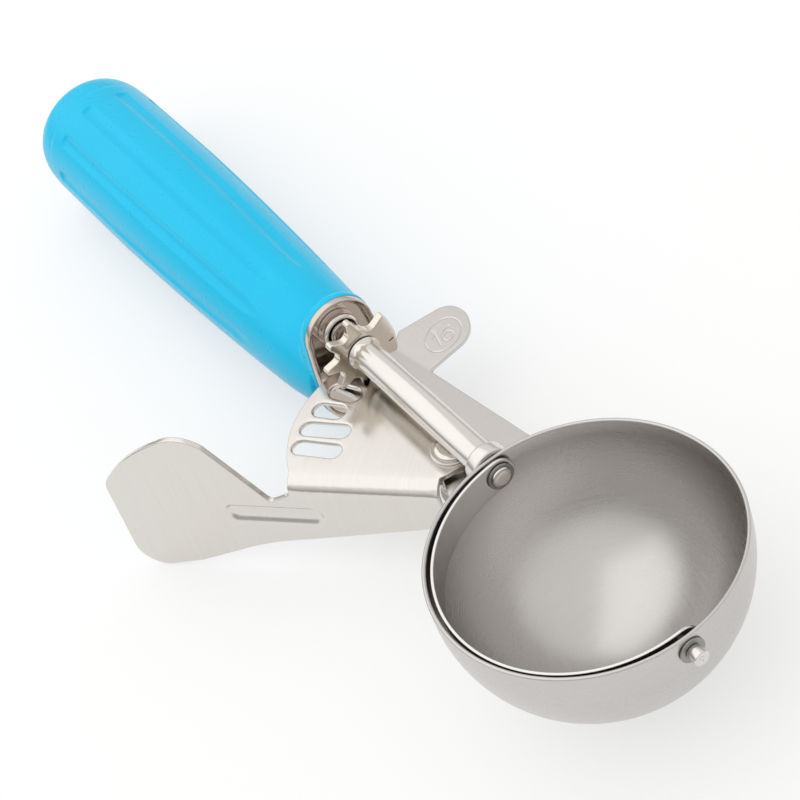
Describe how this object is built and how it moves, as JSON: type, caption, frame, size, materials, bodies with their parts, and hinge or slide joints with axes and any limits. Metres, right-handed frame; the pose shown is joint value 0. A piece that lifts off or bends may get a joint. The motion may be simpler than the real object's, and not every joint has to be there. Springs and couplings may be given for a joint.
{
  "type": "lever ice cream scoop",
  "caption": "Lever ice cream scoop: half-sphere bowl with a swept blade, geared thumb lever, spring return and fluted plastic grip.",
  "frame": {"origin": "centre of the bowl's sphere, on the blade shaft's axis", "axes": "+X along the shaft from the grip to the bowl's front pivot, +Z out of the bowl's mouth, the thumb lever on -Y"},
  "size_m": [0.2289, 0.0815, 0.0418],
  "materials": {
    "stainless": "bright",
    "bowl_steel": "satin",
    "lever_steel": "polished, faintly brushed",
    "grip_plastic": "gloss",
    "bush_steel": "bright",
    "dark_washer": "dull",
    "spring_wire": "drawn wire"
  },
  "bodies": {
    "frame": {"bowl": "bowl_steel", "front_washer": "dark_washer", "shaft_tube": "stainless", "tube_collar": "stainless", "frame_plate": "stainless", "plate_solder": "stainless", "bulkhead": "stainless", "rear_bearing_bush": "bush_steel", "handle_grip": "grip_plastic", "tang_pin": "stainless", "lever_pivot_rivet": "stainless", "pivot_washer": "stainless", "pivot_spacer": "stainless", "spring_washer": "stainless", "spring_stop": "stainless"},
    "sweep": {"sweep_shaft": "stainless", "blade_washer": "stainless", "pinion_hub": "stainless", "shaft_retaining_ring": "stainless", "pinion": "stainless", "sweep_blade": "stainless", "front_pivot_pin": "stainless"},
    "lever": {"thumb_lever": "lever_steel", "return_spring": "spring_wire"}
  },
  "joints": [
    {"name": "lever_squeeze", "type": "hinge", "parent": "frame", "child": "lever", "pos_m": [-0.0448, 0, -0.0075], "axis": [0, 0, -1], "range_deg": [0, 36], "stiffness_Nm_per_rad": 0.12, "springref_deg": -22.92, "deforming": ["return_spring"]},
    {"name": "blade_sweep", "type": "hinge", "parent": "frame", "child": "sweep", "pos_m": [-0.072, 0, 0], "axis": [1, 0, 0], "range_deg": [0, 147.6]}
  ],
  "couplings": [
    {"joint": "blade_sweep", "follows": "lever_squeeze", "ratio": 4.1}
  ]
}
